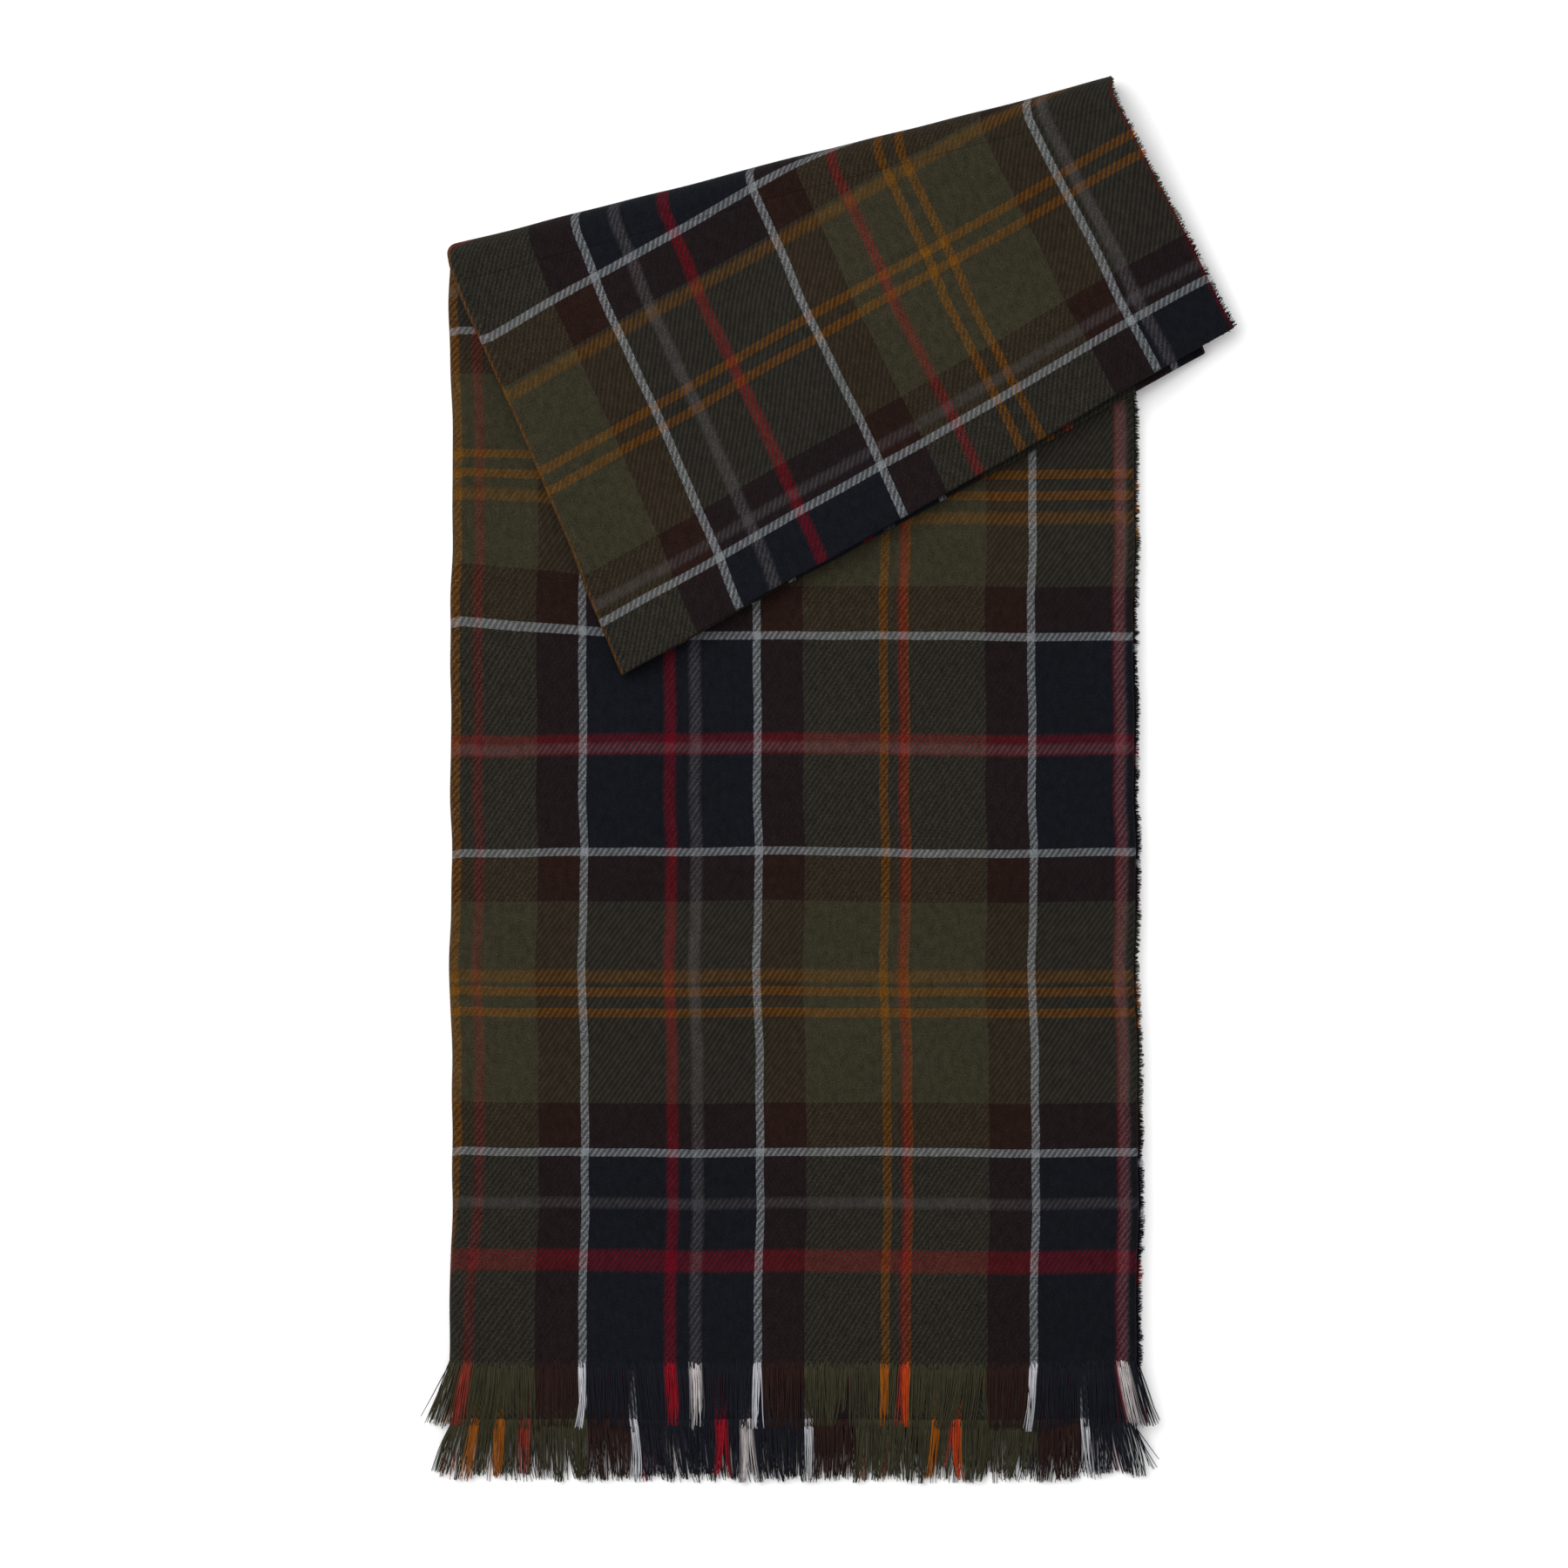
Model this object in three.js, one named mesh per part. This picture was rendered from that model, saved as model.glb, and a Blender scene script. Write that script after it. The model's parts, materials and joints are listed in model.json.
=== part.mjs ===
// A folded throw blanket, in millimetres, +Z up, lying flat on Z = 0.
// The throw is one woven cloth. It is folded across its middle, so that it has two layers (a and b),
// then in half and in half again along its length, so that each layer has four quarters, and then
// its upper end is turned forward over a slanting crown line as a flap.
// Each leaf of cloth is a solid of its own, and so is each fold that joins leaves.
// The origin is under the middle of the whole bundle, on the surface that it lies on.
import * as THREE from "three";

// Cloth
const LEAF_PITCH = 1.25; // from one leaf of cloth to the next
const LEAF_THICKNESS = 0.9;
const GAP = LEAF_PITCH - LEAF_THICKNESS;
const SEAM = 0.35; // left between solids that the cloth joins
const CORNER_GAP = 1; // left where a fold that ends square meets the slanting crown
const FRINGE_LENGTH = 27.5;
const FRINGE_TUFTS = 26;
const SELVEDGE_LENGTH = 2.2; // cut weft ends beyond the raw edge
const BODY_SELVEDGE_TUFTS = 30;
const FLAP_SELVEDGE_TUFTS = 10;
const NOTCH_SHARE = 0.7; // how deep the gaps between tufts start

// The bundle below the crown
const LEFT_EDGE = -178;
const END_A = -269; // where layer a ends and its fringe starts
const END_B = -292.3; // layer b is longer, so its fringe shows below the other
const SHOULDER = 180; // above this height the bundle narrows towards the crown
const RAW_EDGE = { end: 137, shoulder: 134 };
const FRONT_EDGE = { end: 136, shoulder: 133.4 };

// The corners of the flap, whose first two lie on the crown line that it turns about
const CROWN_LEFT = new THREE.Vector2(-178, 232.9);
const CROWN_RIGHT = new THREE.Vector2(126.1, 310.5);
const FLAP_END_RIGHT = new THREE.Vector2(182.7, 206.5);
const FLAP_END_LEFT = new THREE.Vector2(-99.5, 46.5);

// Leaves from the lowest in the bundle to the highest; the flap stacks them in the opposite order.
// The quarters at the back end in the cloth's raw edge, and the quarters at the front in a fold.
const LEAVES = [
  { name: "back_a", layer: "a", raw: true },
  { name: "back_b", layer: "b", raw: true },
  { name: "back_inner_b", layer: "b", raw: true },
  { name: "back_inner_a", layer: "a", raw: true },
  { name: "front_inner_a", layer: "a", raw: false },
  { name: "front_inner_b", layer: "b", raw: false },
  { name: "front_b", layer: "b", raw: false },
  { name: "front_a", layer: "a", raw: false },
];
const FRONT_LEAVES = LEAVES.filter((leaf) => !leaf.raw).length;
const STACK_HEIGHT = LEAVES.length * LEAF_PITCH;
const LEFT_RADIUS = foldRadius(LEAVES.length); // all the leaves turn at the left edge
const RIGHT_RADIUS = foldRadius(FRONT_LEAVES); // only the front ones turn at the right edge
const END_RADIUS = foldRadius(2); // layer a turns into layer b at the end of the flap
const ARC_STEPS = 6;

const frontCloth = clothMaterial(0x2f2d27);
const backCloth = clothMaterial(0x25262b);
const yarn = clothMaterial(0x24201c);

const throwBlanket = new THREE.Group();

function foldRadius(leaves) {
  return (leaves * LEAF_PITCH - GAP) / 2;
}

function clothMaterial(color) {
  return new THREE.MeshStandardMaterial({ color, roughness: 0.95, metalness: 0 });
}

function addMesh(name, geometry, material) {
  const mesh = new THREE.Mesh(geometry, material);
  mesh.name = name;
  throwBlanket.add(mesh);
}

// The unit vector to the right of the direction from start to end.
function rightOf(start, end) {
  const along = end.clone().sub(start).normalize();
  return new THREE.Vector2(along.y, -along.x);
}

function crossing(start, end, otherStart, otherEnd) {
  const along = end.clone().sub(start);
  const other = otherEnd.clone().sub(otherStart);
  const share = otherStart.clone().sub(start).cross(other) / along.cross(other);
  return start.clone().addScaledVector(along, share);
}

// Moves each edge of a convex, anticlockwise outline inwards by its own distance.
function inset(corners, distances) {
  const edges = corners.map((corner, i) => {
    const next = corners[(i + 1) % corners.length];
    const inwards = rightOf(corner, next).multiplyScalar(-distances[i]);
    return [corner.clone().add(inwards), next.clone().add(inwards)];
  });
  return edges.map((edge, i) => crossing(...edges.at(i - 1), ...edge));
}

// A flat plate with the outline given, from the height bottom upwards.
function plate(outline, bottom) {
  const geometry = new THREE.ExtrudeGeometry(new THREE.Shape(outline), {
    depth: LEAF_THICKNESS,
    bevelEnabled: false,
  });
  return geometry.translate(0, 0, bottom);
}

// A half-round bar from start to end, which bulges to the right of that direction.
function foldBar(start, end, radius, middleHeight) {
  const half = new THREE.Shape();
  half.absarc(0, 0, radius, -Math.PI / 2, Math.PI / 2, false);
  const geometry = new THREE.ExtrudeGeometry(half, {
    depth: start.distanceTo(end),
    bevelEnabled: false,
    curveSegments: ARC_STEPS * 2,
  });
  const side = rightOf(start, end);
  const outward = new THREE.Vector3(side.x, side.y, 0);
  const up = new THREE.Vector3(0, 0, 1);
  const backward = new THREE.Vector3().crossVectors(outward, up); // from end to start
  geometry.applyMatrix4(new THREE.Matrix4().makeBasis(outward, up, backward));
  return geometry.translate(end.x, end.y, middleHeight);
}

// A strip beside the edge from start to end, cut into pointed tufts on its right-hand side.
function tuftedStrip(start, end, length, tufts, bottom) {
  const side = rightOf(start, end);
  const outline = [];
  for (let i = 0; i < tufts; i++) {
    if (i > 0) {
      const notch = start.clone().lerp(end, i / tufts);
      outline.push(notch.addScaledVector(side, length * NOTCH_SHARE));
    }
    const tip = start.clone().lerp(end, (i + 0.5) / tufts);
    outline.push(tip.addScaledVector(side, length));
  }
  return plate([start, ...outline, end], bottom);
}

function bundleCorners(rightEdge, end) {
  return [
    new THREE.Vector2(LEFT_EDGE, end),
    new THREE.Vector2(rightEdge.end, end),
    new THREE.Vector2(rightEdge.shoulder, SHOULDER),
    CROWN_RIGHT,
    CROWN_LEFT,
  ];
}

function makeBundle() {
  const leftInset = LEFT_RADIUS + SEAM;
  LEAVES.forEach((leaf, level) => {
    const end = leaf.layer === "a" ? END_A : END_B;
    const edge = leaf.raw ? RAW_EDGE : FRONT_EDGE;
    const rightInset = leaf.raw ? 0 : RIGHT_RADIUS + SEAM;
    const insets = [0, rightInset, rightInset, SEAM, leftInset];
    const outline = inset(bundleCorners(edge, end), insets);
    const bottom = level * LEAF_PITCH;
    addMesh("body_" + leaf.name, plate(outline, bottom), leaf.raw ? backCloth : frontCloth);
    const below = new THREE.Vector2(0, -SEAM);
    const fringeLeft = outline[0].clone().add(below);
    const fringeRight = outline[1].clone().add(below);
    const fringe = tuftedStrip(fringeLeft, fringeRight, FRINGE_LENGTH, FRINGE_TUFTS, bottom);
    addMesh("fringe_" + leaf.name, fringe, yarn);
  });

  const leftX = LEFT_EDGE + LEFT_RADIUS;
  const leftEnd = new THREE.Vector2(leftX, END_A);
  const leftTop = new THREE.Vector2(leftX, CROWN_LEFT.y - SEAM);
  addMesh("body_left_fold", foldBar(leftTop, leftEnd, LEFT_RADIUS, LEFT_RADIUS), frontCloth);

  const rightEnd = new THREE.Vector2(FRONT_EDGE.end - RIGHT_RADIUS, END_A);
  const rightTop = new THREE.Vector2(FRONT_EDGE.shoulder - RIGHT_RADIUS, SHOULDER);
  const rightMiddle = STACK_HEIGHT - GAP - RIGHT_RADIUS;
  addMesh("body_right_fold", foldBar(rightEnd, rightTop, RIGHT_RADIUS, rightMiddle), frontCloth);

  const rawEnd = new THREE.Vector2(RAW_EDGE.end + SEAM, END_A);
  const rawTop = new THREE.Vector2(RAW_EDGE.shoulder + SEAM, SHOULDER);
  const tails = tuftedStrip(rawEnd, rawTop, SELVEDGE_LENGTH, BODY_SELVEDGE_TUFTS, 0);
  addMesh("body_selvedge", tails, yarn);
}

// The turn of all the leaves over the crown, from the top of the bundle to the flap.
function makeCrown() {
  const crown = foldBar(CROWN_RIGHT, CROWN_LEFT, STACK_HEIGHT, STACK_HEIGHT);
  addMesh("crown_fold", crown, frontCloth);
}

function makeFlap() {
  const corners = [CROWN_LEFT, FLAP_END_LEFT, FLAP_END_RIGHT, CROWN_RIGHT];
  const leftInset = LEFT_RADIUS + SEAM;
  const endInset = END_RADIUS + SEAM;
  const rawInset = SELVEDGE_LENGTH + SEAM;
  LEAVES.forEach((leaf, level) => {
    const rightInset = leaf.raw ? rawInset : rawInset + RIGHT_RADIUS;
    const outline = inset(corners, [leftInset, endInset, rightInset, SEAM]);
    const bottom = 2 * STACK_HEIGHT - level * LEAF_PITCH - LEAF_THICKNESS;
    addMesh("flap_" + leaf.name, plate(outline, bottom), leaf.raw ? backCloth : frontCloth);
  });

  const axes = inset(corners, [LEFT_RADIUS, endInset, rawInset + RIGHT_RADIUS - SEAM, CORNER_GAP]);
  const [crownLeft, endLeft, endRight, crownRight] = axes;
  const topMiddle = 2 * STACK_HEIGHT - LEFT_RADIUS;
  addMesh("flap_left_fold", foldBar(crownLeft, endLeft, LEFT_RADIUS, topMiddle), backCloth);
  const lowMiddle = STACK_HEIGHT + GAP + RIGHT_RADIUS;
  addMesh("flap_right_fold", foldBar(endRight, crownRight, RIGHT_RADIUS, lowMiddle), frontCloth);

  for (let pair = 0; pair < LEAVES.length / 2; pair++) {
    const raw = LEAVES[2 * pair].raw;
    const rightInset = raw ? rawInset : rawInset + RIGHT_RADIUS;
    const [, left, right] = inset(corners, [leftInset, END_RADIUS, rightInset, SEAM]);
    const middle = 2 * STACK_HEIGHT - 2 * pair * LEAF_PITCH - END_RADIUS;
    addMesh("flap_end_fold_" + (pair + 1), foldBar(left, right, END_RADIUS, middle), backCloth);
  }

  const [, , rawEnd, rawTop] = inset(corners, [0, endInset, SELVEDGE_LENGTH, SEAM]);
  const topBottom = 2 * STACK_HEIGHT - LEAF_THICKNESS;
  const tails = tuftedStrip(rawEnd, rawTop, SELVEDGE_LENGTH, FLAP_SELVEDGE_TUFTS, topBottom);
  addMesh("flap_selvedge", tails, yarn);
}

makeBundle();
makeCrown();
makeFlap();
export default throwBlanket;
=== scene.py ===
"""A folded tartan throw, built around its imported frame.

The throw is one woven cloth. Each leaf of it that the frame holds as a flat solid is made here as a
sheet with its real folds, and every sheet carries the cloth's own coordinates as its UV map, in metres:
u runs across the cloth from the left fold, and v along it from the fold across its middle. The tartan,
the weave and the fringe's colours are all worked out from those two numbers.
"""

import json
import math

import bpy
import numpy as np
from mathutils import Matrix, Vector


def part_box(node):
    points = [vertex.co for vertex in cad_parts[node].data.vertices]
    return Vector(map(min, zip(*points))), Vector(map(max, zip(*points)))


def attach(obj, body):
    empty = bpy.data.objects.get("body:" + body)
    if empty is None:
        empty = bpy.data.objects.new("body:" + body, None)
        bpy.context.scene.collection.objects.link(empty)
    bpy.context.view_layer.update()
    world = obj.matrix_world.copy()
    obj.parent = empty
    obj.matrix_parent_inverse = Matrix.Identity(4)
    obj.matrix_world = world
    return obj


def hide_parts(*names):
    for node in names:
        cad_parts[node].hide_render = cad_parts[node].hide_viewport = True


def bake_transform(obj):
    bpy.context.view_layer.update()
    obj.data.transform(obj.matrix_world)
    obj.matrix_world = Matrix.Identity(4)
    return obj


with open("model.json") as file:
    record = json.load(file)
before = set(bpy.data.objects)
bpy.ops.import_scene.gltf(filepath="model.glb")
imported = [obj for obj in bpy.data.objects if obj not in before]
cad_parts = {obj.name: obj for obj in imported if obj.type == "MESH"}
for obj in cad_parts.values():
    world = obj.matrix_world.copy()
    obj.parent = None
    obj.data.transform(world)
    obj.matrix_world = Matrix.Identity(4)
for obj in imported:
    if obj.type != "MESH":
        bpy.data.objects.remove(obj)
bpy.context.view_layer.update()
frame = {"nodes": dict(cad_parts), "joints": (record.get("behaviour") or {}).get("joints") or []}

MM = 0.001
QUARTER_TURN = math.pi / 2

# ---------------------------------------------------------------- cloth, in metres
CLOTH_THICKNESS = 0.9 * MM
WARP_PITCH = 0.645 * MM
WEFT_PITCH = 0.94 * MM
TWILL_YARNS = 4  # a 2/2 twill repeats every four yarns
CROWN_SLACK = 1.2 * MM  # cloth taken up by the soft turn at the crown

# Leaves from the top of the bundle down, as (quarter, layer)
QUARTERS = {"front_a": ("front", "a"), "front_b": ("front", "b"),
            "front_inner_b": ("front_inner", "b"), "front_inner_a": ("front_inner", "a"),
            "back_inner_a": ("back_inner", "a"), "back_inner_b": ("back_inner", "b"),
            "back_b": ("back", "b"), "back_a": ("back", "a")}
LEAVES = list(QUARTERS)
OUTSIDE = ("front_a", "back_a")  # the leaves that lie on the outside
FLAP_PEEK = 3.5 * MM  # the front's leaves show this far past the flap's end at its right corner
FLAP_SHORT = 17 * MM  # and their right fold stops this far short of the raw edges above it
FOLD_DRIFT = 7.4 * MM  # the folds wander this far across the cloth between the bundle and the flap
RAW_MARGIN = 10 * MM  # the raw edges stop this far short of the front's width
LAYER_SHIFT = 23 * MM  # layer b lies this much further right than layer a
RAW_SHORT = {"back_a": 0, "back_b": 14 * MM, "back_inner_a": 4 * MM, "back_inner_b": 7 * MM}

# ---------------------------------------------------------------- the frame's places
JOINT = next(j for j in frame["joints"] if j["name"] == "flap_fold")
HINGE = np.array(JOINT["pos_m"])
CROWN_HEIGHT = HINGE[2]
CROWN_ALONG = -np.array(JOINT["axis"])[:2]
CROWN_OUT = np.array([-CROWN_ALONG[1], CROWN_ALONG[0]])

# The direction in which each corner is the furthest point of an outline
BODY_TOP_LEFT = (-0.5, 1)
FLAP_TOP_LEFT = (-1, 0.6)
FLAP_TOP_RIGHT = (0.3, 1)
FLAP_END_LEFT = (-0.4, -1)
FLAP_END_RIGHT = (1, -0.9)
SHOULDER_RISE = 100 * MM  # the corner in the bundle's right side is further than this from its end


def middle_height(node):
    low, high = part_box(node)
    return (low[2] + high[2]) / 2


def node_outline(node):
    """The corners of a flat node's outline, as an array of (x, y)."""
    points = np.array([v.co for v in frame["nodes"][node].data.vertices])[:, :2]
    return np.unique(np.round(points, 6), axis=0)


def furthest(points, direction):
    return points[np.argmax(points @ np.array(direction))]


def onto_crown(point):
    return HINGE[:2] + CROWN_ALONG * ((point - HINGE[:2]) @ CROWN_ALONG)


def peeking_corner(left, right):
    """The flap's right corner, moved so that a leaf shows a little past the ones above it."""
    along = (right - left) / np.linalg.norm(right - left)
    outward = np.array([along[1], -along[0]])
    return right + FLAP_PEEK * outward - FLAP_SHORT * along


class Leaf:
    """The places of one leaf, in the bundle and in the flap."""

    def __init__(self, name):
        self.name = name
        self.quarter, self.layer = QUARTERS[name]
        self.raw = self.quarter.startswith("back")
        self.level = CROWN_HEIGHT - middle_height("body_" + name)
        body, flap = node_outline("body_" + name), node_outline("flap_" + name)
        self.flap_end = [furthest(flap, FLAP_END_LEFT), furthest(flap, FLAP_END_RIGHT)]
        if self.quarter == "front":
            self.flap_end[1] = peeking_corner(*self.flap_end)
        top_left = (furthest(body, BODY_TOP_LEFT) + furthest(flap, FLAP_TOP_LEFT)) / 2
        self.crown = [onto_crown(top_left), onto_crown(furthest(flap, FLAP_TOP_RIGHT))]
        bottom = body[body[:, 1] < body[:, 1].min() + MM]
        self.end = [bottom[np.argmin(bottom[:, 0])], bottom[np.argmax(bottom[:, 0])]]
        shoulder = furthest(body[body[:, 1] > bottom[0, 1] + SHOULDER_RISE], (1, 0))
        self.left_line = [self.crown[0], self.end[0]]
        self.right_line = [self.crown[1], shoulder, self.end[1]]


LEAF = {name: Leaf(name) for name in LEAVES}
FRONT, BACK = LEAF["front_a"], LEAF["back_a"]
PAIR = {name: LEAVES[i + 1 - 2 * (i % 2)] for i, name in enumerate(LEAVES)}  # joined at the flap's end
LEFT_FOLD_LEVEL = (FRONT.level + BACK.level) / 2
RIGHT_FOLD_LEVEL = (FRONT.level + LEAF["front_inner_a"].level) / 2
LEFT_RADIUS = LEFT_FOLD_LEVEL - FRONT.level
RIGHT_RADIUS = RIGHT_FOLD_LEVEL - FRONT.level
FRONT_WIDTH = np.linalg.norm(FRONT.end[1] - FRONT.end[0]) + LEFT_RADIUS + RIGHT_RADIUS
END_ARC = abs(BACK.level - LEAF["back_b"].level) / 2 * QUARTER_TURN  # half of a fold at the flap's end


# ---------------------------------------------------------------- soft shape shared by every piece
# Each wave is (height, (cycles along x, cycles along y), start), with the cycles in radians to a metre
WAVES = [(0.9, (17.0, 9.0), 0.3), (0.7, (-11.0, 23.0), 1.9), (0.5, (37.0, -19.0), 4.1),
         (0.35, (29.0, 43.0), 2.6), (0.25, (-61.0, 31.0), 0.8), (0.18, (83.0, 57.0), 5.2)]
HEIGHT_WAVE = 0.8 * MM  # at the top of the flap; leaves below it move less
SIDE_WAVE, SIDE_WAVE_ROW, SIDE_WAVE_SCALE = 0.55 * MM, 0.4, 2.3  # how the sides stray from straight
END_WAVE, END_WAVE_ROW, END_WAVE_SCALE = 0.33 * MM, 1.1, 2.1  # and the ends
OVERHANG_DROP = 6.5 * MM  # how far the flap sinks where nothing is under it
OVERHANG_REACH = 42 * MM
CROWN_CALM = 50 * MM  # the waves grow over this distance from the crown line
CALM_START = 0.2  # after this share of it


def waves(x, y, scale=1.0):
    total = np.zeros_like(x)
    for height, (along_x, along_y), start in WAVES:
        total += height * np.sin(scale * (along_x * x + along_y * y) + start)
    return total


def smooth(share):
    share = np.clip(share, 0, 1)
    return share * share * (3 - 2 * share)


def soften(points):
    """Moves points from their exact folded places to where soft cloth lies."""
    x, y, z = (points[..., i].copy() for i in range(3))
    right = np.array(BACK.right_line[::-1])
    past_bundle = x - np.interp(y, right[:, 1], right[:, 0])
    over = smooth(past_bundle / OVERHANG_REACH) * (z > CROWN_HEIGHT)
    from_crown = HINGE[:2] @ CROWN_OUT - x * CROWN_OUT[0] - y * CROWN_OUT[1]
    calm = smooth(from_crown / CROWN_CALM - CALM_START)
    wave = waves(x, y) * calm * HEIGHT_WAVE / (2 * CROWN_HEIGHT)
    points[..., 0] = x + waves(y, np.full_like(y, SIDE_WAVE_ROW), SIDE_WAVE_SCALE) * SIDE_WAVE
    points[..., 1] = y + waves(x, np.full_like(x, END_WAVE_ROW), END_WAVE_SCALE) * END_WAVE
    points[..., 2] = z * (1 + wave) - over * OVERHANG_DROP
    return points


# ---------------------------------------------------------------- sheets
ARC_STEPS = 6
FINE_PITCH = 2.2 * MM
COARSE_PITCH = 5.5 * MM
ROLL, ROLL_LENGTH, ROLL_WIDTH = 4.5 * MM, 110 * MM, 45 * MM  # the front's roll under at its lower left
BODY_EASE = 1.011  # the bundle's cloth lies a little slack
PULL, PULL_REACH, PULL_WIDTH = 12 * MM, 230 * MM, 150 * MM  # the drag of the turn on the left fold
END_DRAW, END_REACH = 4 * MM, 0.1  # the last tenth of the bundle is drawn out by this much
WANDER, WANDER_SCALE = 0.75 * MM, 0.55  # how far the weft strays from straight
CROWN_MARGIN = 8 * MM  # flat cloth on each side of the turn that is part of the crown's sheet
LEAST = 1e-12  # keeps a length that is divided by from being zero


def lateral_samples(leaf, pitch):
    """Where the sheet's columns lie, as (share across the flat, share of a side fold).

    A fold share of -1 is the middle of the left fold, and 1 the middle of the right one."""
    width = np.linalg.norm(leaf.end[1] - leaf.end[0])
    flat = np.linspace(0, 1, max(2, round(width / pitch)) + 1)
    samples = [(0.0, -turn) for turn in np.linspace(1, 0, ARC_STEPS + 1)[:-1]]
    samples += [(share, 0.0) for share in flat]
    if not leaf.raw:
        samples += [(1.0, turn) for turn in np.linspace(0, 1, ARC_STEPS + 1)[1:]]
    return np.array(samples)


def trimmed(leaf, samples):
    """Draws a raw-edged leaf's right edge in, where it is shorter than the widest."""
    short = RAW_SHORT.get(leaf.name, 0)
    samples = samples.copy()
    samples[:, 0] *= 1 - short / np.linalg.norm(leaf.end[1] - leaf.end[0])
    return samples


def fold_profile(samples, level):
    """How far each column lies past the flat's sides, and its level, for a leaf at this level."""
    share, turn = samples[:, 0], samples[:, 1]
    level = np.broadcast_to(level, share.shape)
    offset, levels = np.zeros_like(share), level.copy()
    for side, middle in ((-1, LEFT_FOLD_LEVEL), (1, RIGHT_FOLD_LEVEL)):
        here = np.sign(turn) == side
        angle = np.abs(turn[here]) * QUARTER_TURN
        radius = level[here] - middle
        offset[here] = side * np.abs(radius) * np.sin(angle)
        levels[here] = middle + radius * np.cos(angle)
    return offset, levels


def across_cloth(leaf, samples):
    """The cloth's u at each column."""
    share, turn = samples[:, 0], samples[:, 1]
    flat_width = FRONT_WIDTH - LEFT_RADIUS - (RAW_MARGIN if leaf.raw else RIGHT_RADIUS)
    past_left_fold = LEFT_RADIUS + share * flat_width + np.maximum(turn, 0) * RIGHT_RADIUS
    reach = np.where(turn < 0, (1 + turn) * LEFT_RADIUS, past_left_fold)
    u = {"front": reach, "back": -reach, "front_inner": 2 * FRONT_WIDTH - reach,
         "back_inner": 2 * FRONT_WIDTH + reach}[leaf.quarter]
    return u if leaf.layer == "a" else u - LAYER_SHIFT


def rolled(u, x, y):
    """The front's left fold rolls a little under towards the fringe."""
    left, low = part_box("body_front_a")[0][:2]
    return u + ROLL * smooth(1 - (y - low) / ROLL_LENGTH) * (1 - smooth((x - left) / ROLL_WIDTH))


def row_points(line, samples, offset=0.0):
    """Points along a line from its left end to its right, and past its ends by the offsets."""
    left, right = line
    unit = (right - left) / np.linalg.norm(right - left)
    offset = np.broadcast_to(offset, len(samples))
    return left + samples[:, :1] * (right - left) + offset[:, None] * unit


def along_line(corners, share):
    """The point at a share of the length of a line of corners."""
    corners = np.array(corners)
    steps = np.linalg.norm(np.diff(corners, axis=0), axis=1)
    lengths = np.concatenate([[0], np.cumsum(steps)])
    at = share * lengths[-1]
    return np.array([np.interp(at, lengths, corners[:, i]) for i in range(2)])


def crown_share(leaf, end):
    """How much of the side from the crown to this end the crown's own sheet takes."""
    return CROWN_MARGIN / np.linalg.norm(leaf.crown[0] - end)


def eased(flat, distance):
    """The length of cloth over a distance down the bundle, which lies slack and drags at the left."""
    pull = np.sin(math.pi * np.clip(distance / PULL_REACH, 0, 1)) ** 2
    near = 1 - smooth((flat[:, 0] - FRONT.end[0][0]) / PULL_WIDTH)
    wander = WANDER * waves(flat[:, 0], distance, WANDER_SCALE) * smooth(distance / PULL_REACH)
    return distance * BODY_EASE + PULL * pull * near + wander


def flap_columns(leaf, samples):
    """Which way each column runs from the crown line to the flap's end, and how far."""
    way = row_points(leaf.flap_end, samples) - row_points(leaf.crown, samples)
    lengths = np.linalg.norm(way, axis=1)
    return way / lengths[:, None], lengths


def crown_start(leaf, samples):
    """The cloth's v where each column meets the crown line, on the flap's side."""
    _, lengths = flap_columns(leaf, samples)
    return END_ARC + lengths + math.pi * (BACK.level - leaf.level)


# A row of a sheet is the (x, y) of its columns, their heights, and the cloth's v there

def flap_row(leaf, samples, share):
    """One row of the flap's flat part: share 0 is its end and 1 the crown line."""
    offset, levels = fold_profile(samples, leaf.level)
    line = [end + share * (crown - end) for end, crown in zip(leaf.flap_end, leaf.crown)]
    along = END_ARC + share * (crown_start(leaf, samples) - END_ARC)
    return row_points(line, samples, offset), CROWN_HEIGHT + levels, along


def body_row(leaf, samples, share):
    """One row of the bundle: share 0 is the crown line and 1 the row that the fringe hangs from."""
    offset, levels = fold_profile(samples, leaf.level)
    top = row_points(leaf.crown, samples, offset)
    line = [along_line(side, share) for side in (leaf.left_line, leaf.right_line)]
    flat = row_points(line, samples, offset)
    start = crown_start(leaf, samples) + math.pi * leaf.level + CROWN_SLACK
    drawn = END_DRAW * smooth(1 - (1 - share) / END_REACH)
    return flat, CROWN_HEIGHT - levels, start - drawn + eased(flat, np.linalg.norm(flat - top, axis=1))


def flap_rows(leaf, samples, pitch):
    """The leaf in the flap, from its end fold to the crown's sheet."""
    partner = LEAF[PAIR[leaf.name]].level
    middle, half = (leaf.level + partner) / 2, (leaf.level - partner) / 2
    outward, lengths = flap_columns(leaf, samples)
    rows = []
    for turn in np.linspace(0, QUARTER_TURN, ARC_STEPS + 1)[:-1]:
        offset, levels = fold_profile(samples, middle + half * math.sin(turn))
        flat = row_points(leaf.flap_end, samples, offset) + outward * abs(half) * math.cos(turn)
        rows.append((flat, CROWN_HEIGHT + levels, np.full_like(levels, abs(half) * turn)))
    steps = max(2, round(lengths.max() / pitch))
    last = 1 - crown_share(leaf, leaf.flap_end[0])
    return rows + [flap_row(leaf, samples, share) for share in np.linspace(0, last, steps + 1)]


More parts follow.
